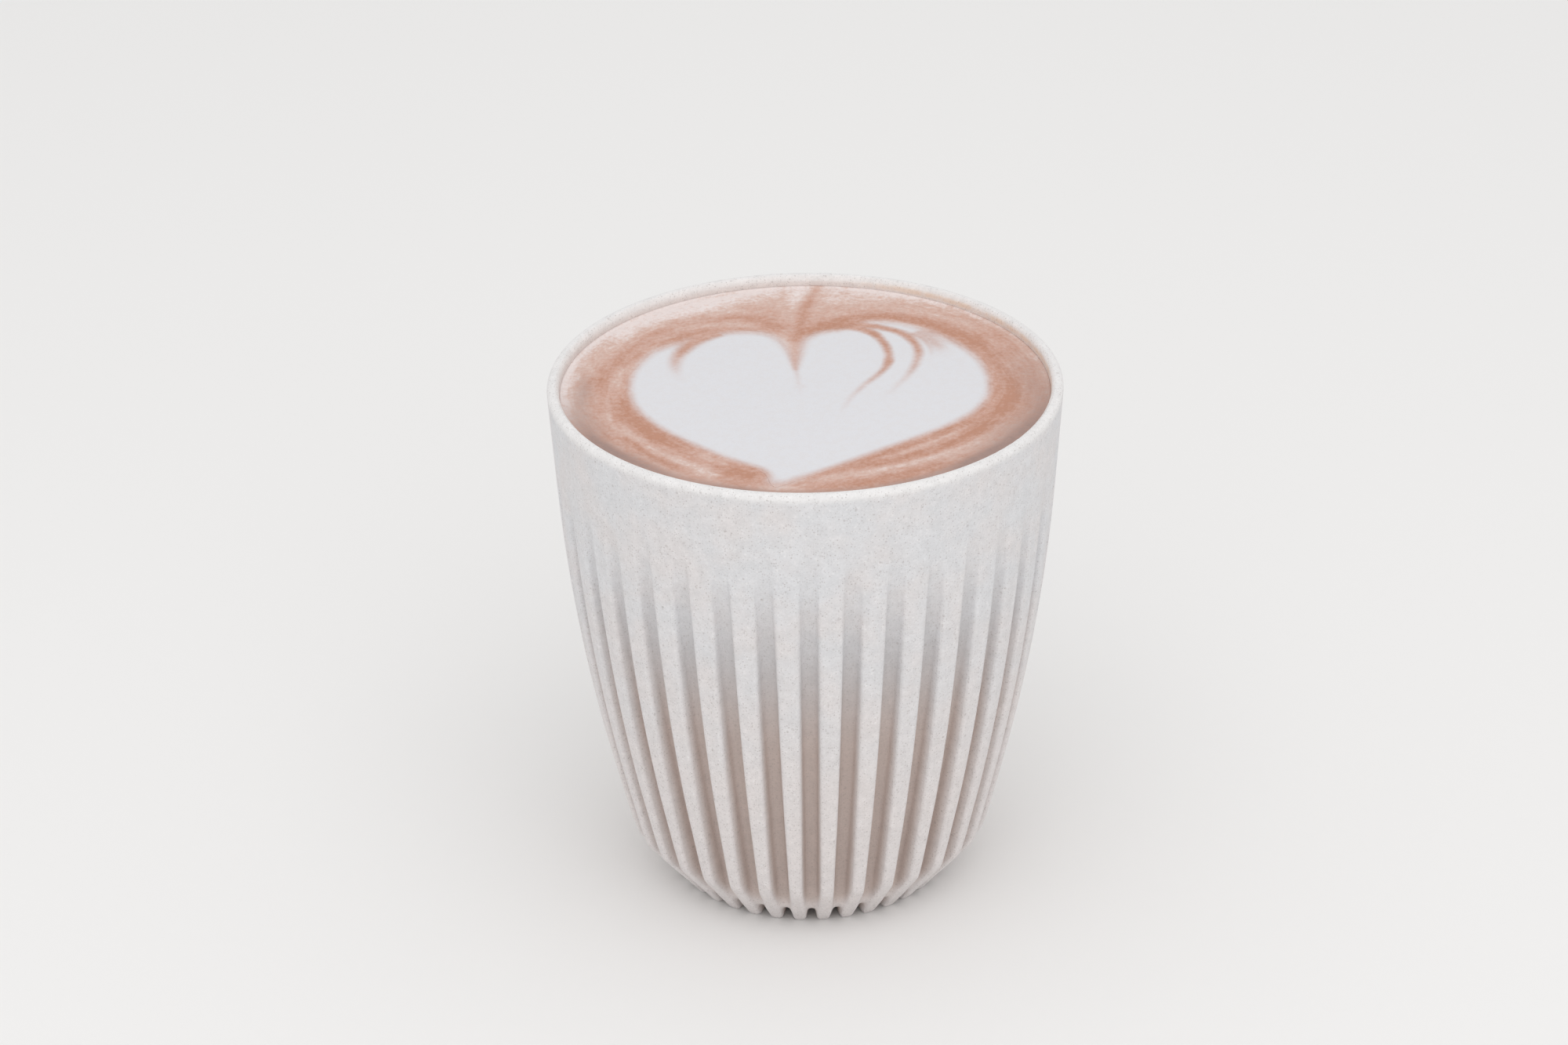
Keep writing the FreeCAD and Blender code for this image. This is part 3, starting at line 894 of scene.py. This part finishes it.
    brown_lines: Sequence[Stroke] = (
        Stroke(((2.8, 43), (1.2, 37), (0, 31), (-0.8, 25), (-1.6, 19)), 1.1, 0.42, 2, 1.5, 0.02, 0.05),
        Stroke(((-3.2, 22.6), (-5, 26.4), (-8.8, 29.2), (-14, 30.4), (-19.6, 29), (-24.6, 26),
            (-28.6, 21.6), (-31.6, 16), (-34.4, 10), (-35.8, 4), (-35.2, -1.5), (-33, -6)),
            2, 0.32, 3.4, 1.9, 0.08, 0.2),
        Stroke(((-14, 24.6), (-18.4, 24.4), (-22.6, 21.8), (-27, 19)), 2, 0.24, 2.4, 1.5, 0.3, 0.4),
        Stroke(((-0.2, 20.4), (1.4, 24), (4.4, 26.6), (9.4, 29), (15, 29.2), (20.8, 27), (26, 23.2),
            (30.4, 18.4), (33.2, 12.6), (34.8, 4)), 2.4, 0.34, 3.4, 1.7, 0.06, 0.35),
        Stroke(((2, 25), (6, 26.4), (10.4, 25.6)), 2.6, 0.3, 1.6, 1.4, 0.3, 0.3),
        Stroke(((35, 10), (36.2, 3), (36.4, -2), (35, -6.4), (33, -10.2), (30.8, -14), (28.2, -17.8),
            (25.2, -21), (20, -25), (14.4, -27.9), (8.4, -30.4)), 3.4, 0.34, 1.3, 1.3, 0.25, 0.2),
        Stroke(((32.4, -11.6), (29.4, -16.4), (26, -20.4), (21.6, -24)), 1.2, 0.34, 1.2, 0.7, 0.3, 0.3),
        Stroke(((31.4, -3), (30.4, -8), (26.8, -13.6), (21.8, -18.4), (16.4, -22.8), (10.6, -27),
            (4.8, -30.8)), 1.8, 0.26, 1.3, 1, 0.2, 0.25),
        Stroke(((12.6, -28), (9.4, -29.6), (6.4, -31)), 1.8, 0.24, 1.8, 0.9, 0.3, 0.3),
        Stroke(((27, -28.6), (19.4, -32.4), (11, -35.4), (2, -37.6)), 2.2, 0.24, 1.8, 1.3, 0.3, 0.2),
        Stroke(((-31.6, 0), (-31.4, -5), (-30.2, -9.6), (-28.2, -13.8), (-25.4, -17.6), (-22.4, -21),
            (-18.8, -24.2)), 3.4, 0.37, 2.8, 1.5, 0.2, 0.15),
        Stroke(((-29.4, -12.4), (-26.8, -16.6), (-23.6, -20.4), (-20.4, -23.2)),
            1.1, 0.24, 1.2, 0.7, 0.3, 0.2),
        Stroke(((-31.6, -15.6), (-29, -20.6), (-25.8, -25.2), (-22.2, -29.2), (-18.6, -32.6)),
            1.8, 0.26, 1.6, 1, 0.25, 0.25),
        Stroke(((-14, -30.2), (-11.4, -31.6), (-8.6, -33.2)), 3.2, 0.32, 3, 1.3, 0.2, 0.12),
    )
    patches: Sequence[Patch] = (
        Patch((-26, 34.5), (13, 9), 0.7, 35),
        Patch((-17, 39), (8, 5.5), 0.42, 20),
        Patch((-7, 39.5), (9, 6), 0.38),
        Patch((12.5, 39), (12, 5), 0.42, -15),
        Patch((0, 34), (22, 6), 0.14),
        Patch((29, 31), (10, 6), 0.12, -45),
        Patch((16, 34.6), (6, 2.6), -0.12, -15),
        Patch((-10.5, 36.2), (5.5, 4), -0.22),
        Patch((-33, 22), (6, 9), 0.24, 25),
        Patch((-38, 12), (4.6, 16), 0.24, 10),
        Patch((-42.2, 4), (2, 15), 0.5, 2),
        Patch((-39.4, -9), (2.6, 8), 0.26, 14),
        Patch((-20, -30.5), (8, 2.4), 0.08, -38),
        Patch((-4.6, -37.2), (3.4, 1.5), 0.34),
        Patch((-3, 21.5), (2.4, 5), 0.3),
        Patch((-2.6, 15), (2, 4), 0.16),
    )
    # Patches of thin foam by the wall, which also paint the wall's shadow on the drink.
    wall_shadow_and_thin_patches: Sequence[Patch] = (
        Patch((41, -4), (3.6, 12), 0.42, 3),
        Patch((37, -17), (4.2, 10), 0.6, -28),
        Patch((30, -28), (9, 3.6), 0.45, 42),
        Patch((16, -37.5), (12, 2.2), 0.25, 16),
        Patch((-38.8, 0), (1.8, 7), 0.46, 0),
        Patch((-37.6, -13), (2.6, 9), 0.5, 20),
        Patch((-31, -25.4), (9, 2.6), 0.46, -42),
        Patch((-16, -37.2), (10, 2.4), 0.34, -20),
        Patch((38, 8), (4, 9), 0.18, 8),
    )

    def outline(self) -> np.ndarray:
        """Closed outline of the heart, from its cleft round the right side and the tip.

        Returns:
            Points of the outline.
        """
        right = rounded_path((self.cleft_foot, *self.right_side, self.tip))
        left = rounded_path((self.tip, *self.left_side, self.cleft_foot))
        return np.vstack([right[:-1], left[:-1]])

    def depth(self, at: Plan) -> np.ndarray:
        """Distance from the heart's outline.

        Args:
            at: The points.

        Returns:
            Distances, above 0 inside the heart.
        """
        path = self.outline()
        gap, _ = nearest_on_path(np.vstack([path, path[:1]]), at)
        return np.where(inside_path(path, at), gap, -gap)

    def evaluate(self, at: Plan) -> dict[str, np.ndarray]:
        """Tones, milk and flow at points on the drink.

        Args:
            at: The points.

        Returns:
            The attributes "pale", "dusk", "milk" and "flow".
        """
        depth = self.depth(at)
        return {"pale": self._pale(at, depth), "wall_shadow_and_thin_foam": self._wall_shadow_and_thin_foam(at),
                "milk": self._milk(at, depth), "flow": self._flow(at, depth)}

    def _milk(self, at: Plan, depth: np.ndarray) -> np.ndarray:
        """Share of milk, whose edge is softer at the back and at the tip.

        Args:
            at: The points.
            depth: Their depths inside the heart.

        Returns:
            Shares from 0 to 1.
        """
        tip = smooth_share(*self.tip_rows, at.y)
        tip = tip * smooth_share(*self.tip_sides, np.abs(at.x - self.tip[0]))
        back = smooth_share(*self.back_rows, at.y)
        edge = self.edge_softness * (1.0 + self.tip_softness * tip + self.back_softness * back)
        milk = smooth_share(-1.0, 1.0, depth / edge)
        for stroke in self.cuts:
            milk = milk * (1.0 - stroke.cover(at))
        return milk

    def _pale(self, at: Plan, depth: np.ndarray) -> np.ndarray:
        """Paleness of the brown foam.

        Args:
            at: The points.
            depth: Their depths inside the heart.

        Returns:
            Values from 0, for the darkest lines, to 1.
        """
        pale = self.ring_tone + self.outer_tone * smooth_share(*self.outer_radii, at.radius)
        # Paler foam and painted light along the back wall.
        back_wall_radii = [self.wall_radius - inset for inset in self.back_wall_insets]
        back_wall_band = smooth_share(*back_wall_radii, at.radius) * smooth_share(*self.back_wall_rows, at.y)
        pale = pale + self.back_wall_foam_and_painted_light * back_wall_band
        for mark in (*self.patches, *self.pale_lines):
            pale = pale + mark.cover(at)
        for stroke in self.brown_lines:
            pale = pale - stroke.cover(at) * (self.brown_pull + pale)
        inner = smooth_share(*self.line_depths, depth)
        return np.clip(pale * (1.0 - inner) + self.line_tone * inner, 0.0, 1.0)

    def _wall_shadow_and_thin_foam(self, at: Plan) -> np.ndarray:
        """Share of the greyish tone near the wall: thin foam, and a painted shadow of the wall that is
        broadest at the front.

        Args:
            at: The points.

        Returns:
            Shares from 0 to 1.
        """
        # The painted shadow of the wall on the front of the drink, a band a few millimetres wide inside
        # the wall.
        front = smooth_share(*self.front_rows, at.y)
        limit = self.wall_radius - self.front_inset * front
        band = smooth_share(limit - self.front_width, limit, at.radius)
        band = band * smooth_share(limit + self.front_fade, limit, at.radius)
        uneven = 1.0 + sum(size * np.sin(count * at.angle + phase)
                           for size, count, phase in self.front_waves)
        wall_shadow_and_thin_foam = self.wall_line * front * band * uneven
        for patch in self.wall_shadow_and_thin_patches:
            wall_shadow_and_thin_foam = wall_shadow_and_thin_foam + patch.cover(at)
        return np.clip(wall_shadow_and_thin_foam, 0.0, 1.0)

    def _flow(self, at: Plan, depth: np.ndarray) -> np.ndarray:
        """Coordinates that change slowly round the ring and fast across it.

        Args:
            at: The points.
            depth: Their depths inside the heart.

        Returns:
            Three coordinates for each point.
        """
        room = np.maximum(self.wall_radius - at.radius, 0.0)
        across = self.flow_bands * -depth / (np.abs(depth) + room + self.flow_slack)
        return np.stack([self.flow_turns * np.cos(at.angle),
                         self.flow_turns * np.sin(at.angle), across], axis=-1)


# ---------------------------------------------------------------- sub-assemblies


@dataclass(frozen=True)
class RoundSheet:
    """A closed body whose dense top is a grid of rings round a centre, in millimetres.

    Each pair of below is a ring under the top: how far inside the rim it lies, and its height.
    """

    name: str
    centre: Pair
    rims: np.ndarray
    ring_shares: np.ndarray
    below: Pairs

    def _around(self, reach: np.ndarray) -> tuple[np.ndarray, np.ndarray]:
        """Plan positions at distances from the centre, all the way round.

        Args:
            reach: Distances in each direction, in one row or more.

        Returns:
            First and second coordinates, row after row.
        """
        angles = np.linspace(0.0, 2 * math.pi, len(self.rims), endpoint=False)
        return ((self.centre[0] + reach * np.cos(angles)).ravel(),
                (self.centre[1] + reach * np.sin(angles)).ravel())

    def points(self) -> Plan:
        """Give the plan positions of the top's vertices, its centre first."""
        x, y = self._around(self.ring_shares[:, None] * self.rims[None, :])
        return Plan(np.append(self.centre[0], x), np.append(self.centre[1], y))

    def build(self, heights: np.ndarray, attributes: dict[str, np.ndarray]) -> bpy.types.Object:
        """Make the mesh.

        Args:
            heights: Height of each of the top's vertices, in millimetres.
            attributes: Values for each of the top's vertices, by name.

        Returns:
            The new object.
        """
        count = len(self.rims)
        top = self.points()
        layers = [np.stack([top.x, top.y, heights], axis=-1)]
        for inset, height in self.below:
            layers.append(np.stack([*self._around(self.rims - inset),
                                    np.full(count, height)], axis=-1))
        layers.append(np.array([[*self.centre, self.below[-1][1]]]))
        vertices = np.vstack(layers) * MM
        steps = [(here, (here + 1) % count) for here in range(count)]
        faces = [(0, 1 + here, 1 + after) for here, after in steps]
        for ring in range(len(self.ring_shares) + len(self.below) - 1):
            inner = 1 + ring * count
            outer = inner + count
            faces += [(inner + here, outer + here, outer + after, inner + after)
                      for here, after in steps]
        bottom = len(vertices) - 1
        last = bottom - count
        faces += [(bottom, last + after, last + here) for here, after in steps]
        mesh = bpy.data.meshes.new(self.name)
        mesh.from_pydata(vertices.tolist(), [], faces)
        mesh.polygons.foreach_set("use_smooth", [True] * len(mesh.polygons))
        self._write(mesh, attributes, len(vertices))
        body = bpy.data.objects.new(self.name, mesh)
        bpy.context.scene.collection.objects.link(body)
        return body

    @staticmethod
    def _write(mesh: bpy.types.Mesh, attributes: dict[str, np.ndarray], count: int) -> None:
        """Store values on the vertices, and carry the last ones down the sides.

        Args:
            mesh: The mesh.
            attributes: Values for the top's vertices, by name.
            count: Number of vertices in the whole mesh.
        """
        for name, values in attributes.items():
            tall = values.ndim == 2
            full = np.zeros((count, 3) if tall else count)
            full[:len(values)] = values
            full[len(values):] = values[-1]
            layer = mesh.attributes.new(name, "FLOAT_VECTOR" if tall else "FLOAT", "POINT")
            layer.data.foreach_set("vector" if tall else "value", full.astype(np.float32).ravel())


@dataclass(frozen=True)
class Cup:
    """The fluted cup, whose CAD shape stays."""

    finish: HuskFinish = HuskFinish()

    def dress(self, effects: EffectGroups) -> bpy.types.Object:
        """Give the cup its material.

        Args:
            effects: The shared node groups.

        Returns:
            The cup's object.
        """
        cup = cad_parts[Piece.CUP.value]
        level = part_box(Piece.DRINK.value)[1][2]
        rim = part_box(Piece.CUP.value)[1][2]
        material = self.finish.build(effects, level, rim)
        cup.data.materials.clear()
        cup.data.materials.append(material)
        return cup


@dataclass(frozen=True)
class Drink:
    """The cocoa, and the milk heart on it. Lengths are in millimetres."""

    pattern: PouredPattern = PouredPattern()
    finish: FoamFinish = FoamFinish()
    hidden_radius: float = 7.5
    hidden_rings: int = 8
    rings: int = 118
    segments: int = 540
    wall_step: float = 3.0
    corner_step: float = 0.7
    corner_height: float = 14.0
    wall_overlap: float = 0.03
    side_inset: float = 0.05
    skin_rise: float = 0.02
    meniscus_rise: float = 0.28
    meniscus_reach: float = 0.9
    heart_rise: float = 0.05
    heart_sink: float = 0.01
    heart_crown: float = 0.32
    crown_depth: float = 14.0
    heart_margin: float = 1.1
    heart_lip: float = 0.4
    heart_skirt: Pairs = ((0.25, 0.3), (0.6, 2.9))
    heart_centre: Pair = (-1.0, 1.0)
    heart_rings: int = 110
    heart_segments: int = 480

    def level(self) -> float:
        """Height of the drink's surface, in millimetres."""
        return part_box(Piece.DRINK.value)[1][2] / MM

    def wall_outline(self) -> list[Pair]:
        """Outline of the drink's side, from its level down to the cup's floor.

        Returns:
            Pairs of radius and height, in millimetres.
        """
        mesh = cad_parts[Piece.DRINK.value].data
        points = np.empty(len(mesh.vertices) * 3)
        mesh.vertices.foreach_get("co", points)
        points = points.reshape(-1, 3) / MM
        radii = np.hypot(points[:, 0], points[:, 1])
        order = np.lexsort((radii, -points[:, 2]))
        outline: list[Pair] = []
        for radius, height in zip(radii[order], points[:, 2][order]):
            while outline and abs(outline[-1][1] - height) < 1e-3 and radius >= outline[-1][0]:
                outline.pop()
            while len(outline) > 1 and self._caved(outline[-2], outline[-1], (radius, height)):
                outline.pop()
            step = self.wall_step if height > self.corner_height else self.corner_step
            if not outline or outline[-1][1] - height > step:
                outline.append((float(radius), float(height)))
        return outline

    @staticmethod
    def _caved(upper: Pair, middle: Pair, lower: Pair) -> bool:
        """Whether the middle point lies inside the line between its neighbours."""
        across, down = lower[0] - upper[0], lower[1] - upper[1]
        return (middle[0] - upper[0]) * down > (middle[1] - upper[1]) * across

    def build_cocoa(self, material: bpy.types.Material) -> bpy.types.Object:
        """Make the cocoa, with its poured surface.

        Args:
            material: The foam's material.

        Returns:
            The cocoa's object.
        """
        outline = self.wall_outline()
        wall = outline[0][0] + self.wall_overlap
        hidden = np.linspace(0.0, self.hidden_radius, self.hidden_rings, endpoint=False)[1:]
        shares = np.concatenate([hidden, np.linspace(self.hidden_radius, wall, self.rings)]) / wall
        below = [(wall - radius + self.side_inset, height) for radius, height in outline[1:]]
        sheet = RoundSheet("cocoa_drink", (0.0, 0.0), np.full(self.segments, wall), shares, below)
        at = sheet.points()
        rise = smooth_share(wall - self.meniscus_reach, wall, at.radius) ** 2
        heights = self.level() + self.skin_rise + self.meniscus_rise * rise
        body = sheet.build(heights, self.pattern.evaluate(at))
        body.data.materials.append(material)
        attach(body, "root")
        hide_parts(Piece.DRINK.value)
        return body

    def heart_rims(self) -> np.ndarray:
        """Distance of the heart's edge from its centre, all the way round.

        Returns:
            Distances in millimetres, margin included.
        """
        offset = self.pattern.outline() - np.array(self.heart_centre)
        angle = np.arctan2(offset[:, 1], offset[:, 0])
        order = np.argsort(angle)
        wanted = np.linspace(0.0, 2 * math.pi, self.heart_segments, endpoint=False)
        wanted = np.where(wanted > math.pi, wanted - 2 * math.pi, wanted)
        reach = np.interp(wanted, angle[order], np.hypot(*offset[order].T), period=2 * math.pi)
        kernel = np.array([1.0, 2.0, 3.0, 2.0, 1.0]) / 9.0
        padded = np.concatenate([reach[-2:], reach, reach[:2]])
        return np.convolve(padded, kernel, mode="valid") + self.heart_margin

    def build_heart(self, material: bpy.types.Material) -> bpy.types.Object:
        """Make the milk heart, which lies on the cocoa and is a little higher at its middle.

        Args:
            material: The foam's material.

        Returns:
            The heart's object.
        """
        level = self.level()
        even = np.linspace(0.0, 1.0, self.heart_rings + 1)[1:]
        below = [(inset, level - depth) for inset, depth in self.heart_skirt]
        sheet = RoundSheet("milk_heart", self.heart_centre, self.heart_rims(),
                           0.5 * np.sqrt(even) + 0.5 * even, below)
        at = sheet.points()
        depth = self.pattern.depth(at)
        swell = smooth_share(-self.heart_margin, self.crown_depth, depth)
        edge = 1.0 - smooth_share(-self.heart_margin, -self.heart_lip, depth)
        heights = level + self.skin_rise + self.heart_rise + self.heart_crown * swell
        heights = heights - (self.heart_rise + self.heart_sink) * edge
        body = sheet.build(heights, self.pattern.evaluate(at))
        body.data.materials.append(material)
        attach(body, "root")
        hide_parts(Piece.HEART.value)
        return body


# ---------------------------------------------------------------- stage


@dataclass(frozen=True)
class Studio:
    """Pale floor, soft light and camera. Lengths are in metres, angles in degrees."""

    floor_size: float = 8.0
    floor_finish: StageFinish = StageFinish()
    surround: Shade = Shade(240, 240, 240)
    world_strength: float = 0.94
    overhead_power: float = 4.2
    overhead_place: tuple[float, float, float] = (0.06, -0.66, 0.95)
    overhead_target: tuple[float, float, float] = (0.0, 0.0, 0.05)
    overhead_size: float = 1.2
    camera_place: tuple[float, float, float] = (-0.0040, -0.8101, 0.4880)
    camera_down: float = 27.43
    camera_roll: float = 0.77
    camera_lens: float = 118.6
    camera_sensor: float = 36.0
    camera_range: Pair = (0.01, 50.0)

    def build_floor(self) -> None:
        """Lay the floor."""
        half = self.floor_size / 2
        mesh = bpy.data.meshes.new("floor")
        corners = [(-half, -half, 0.0), (half, -half, 0.0), (half, half, 0.0), (-half, half, 0.0)]
        mesh.from_pydata(corners, [], [(0, 1, 2, 3)])
        floor = bpy.data.objects.new("floor", mesh)
        bpy.context.scene.collection.objects.link(floor)
        mesh.materials.append(self.floor_finish.build())

    def build_light(self) -> None:
        """Light the scene from all round, and a little more from above."""
        world = bpy.data.worlds.new("surround")
        bpy.context.scene.world = world
        world.use_nodes = True
        sheet = NodeSheet(world.node_tree)
        background = world.node_tree.nodes["Background"].inputs
        background["Color"].default_value = self.surround.linear()
        seen = sheet.add("LightPath").outputs["Is Camera Ray"]
        strength = sheet.remap(seen, 0.0, 1.0, self.world_strength, 1.0, smooth=False)
        sheet.feed(background["Strength"], strength)
        lamp = bpy.data.lights.new("overhead", "AREA")
        lamp.energy = self.overhead_power
        lamp.size = self.overhead_size
        holder = bpy.data.objects.new("overhead", lamp)
        bpy.context.scene.collection.objects.link(holder)
        holder.location = self.overhead_place
        aim = Vector(self.overhead_target) - Vector(self.overhead_place)
        holder.rotation_euler = aim.to_track_quat("-Z", "Y").to_euler()

    def build_camera(self) -> None:
        """Place the camera."""
        data = bpy.data.cameras.new("camera")
        data.lens = self.camera_lens
        data.sensor_width = self.camera_sensor
        data.clip_start, data.clip_end = self.camera_range
        camera = bpy.data.objects.new("camera", data)
        bpy.context.scene.collection.objects.link(camera)
        down = math.radians(self.camera_down)
        roll = math.radians(self.camera_roll)
        forward = Vector((0.0, math.cos(down), -math.sin(down)))
        level_right = Vector((1.0, 0.0, 0.0))
        level_up = level_right.cross(forward)
        right = level_right * math.cos(roll) - level_up * math.sin(roll)
        upward = level_right * math.sin(roll) + level_up * math.cos(roll)
        turn = Matrix((right, upward, -forward)).transposed().to_4x4()
        camera.matrix_world = Matrix.Translation(Vector(self.camera_place)) @ turn
        bpy.context.scene.camera = camera


def main() -> None:
    """Build the finishes, the pieces and the stage in order."""
    logging.basicConfig(level=logging.INFO, format="%(message)s")
    scene = bpy.context.scene
    scene.view_settings.view_transform = "Standard"
    effects = EffectGroups()
    cup = Cup().dress(effects)
    LOG.info("%s dressed, %d faces", cup.name, len(cup.data.polygons))
    drink = Drink()
    foam = drink.finish.build(effects)
    for body in (drink.build_cocoa(foam), drink.build_heart(foam)):
        LOG.info("%s built, %d faces", body.name, len(body.data.polygons))
    studio = Studio()
    studio.build_floor()
    studio.build_light()
    studio.build_camera()
    LOG.info("stage built")


if __name__ == "__main__":
    main()
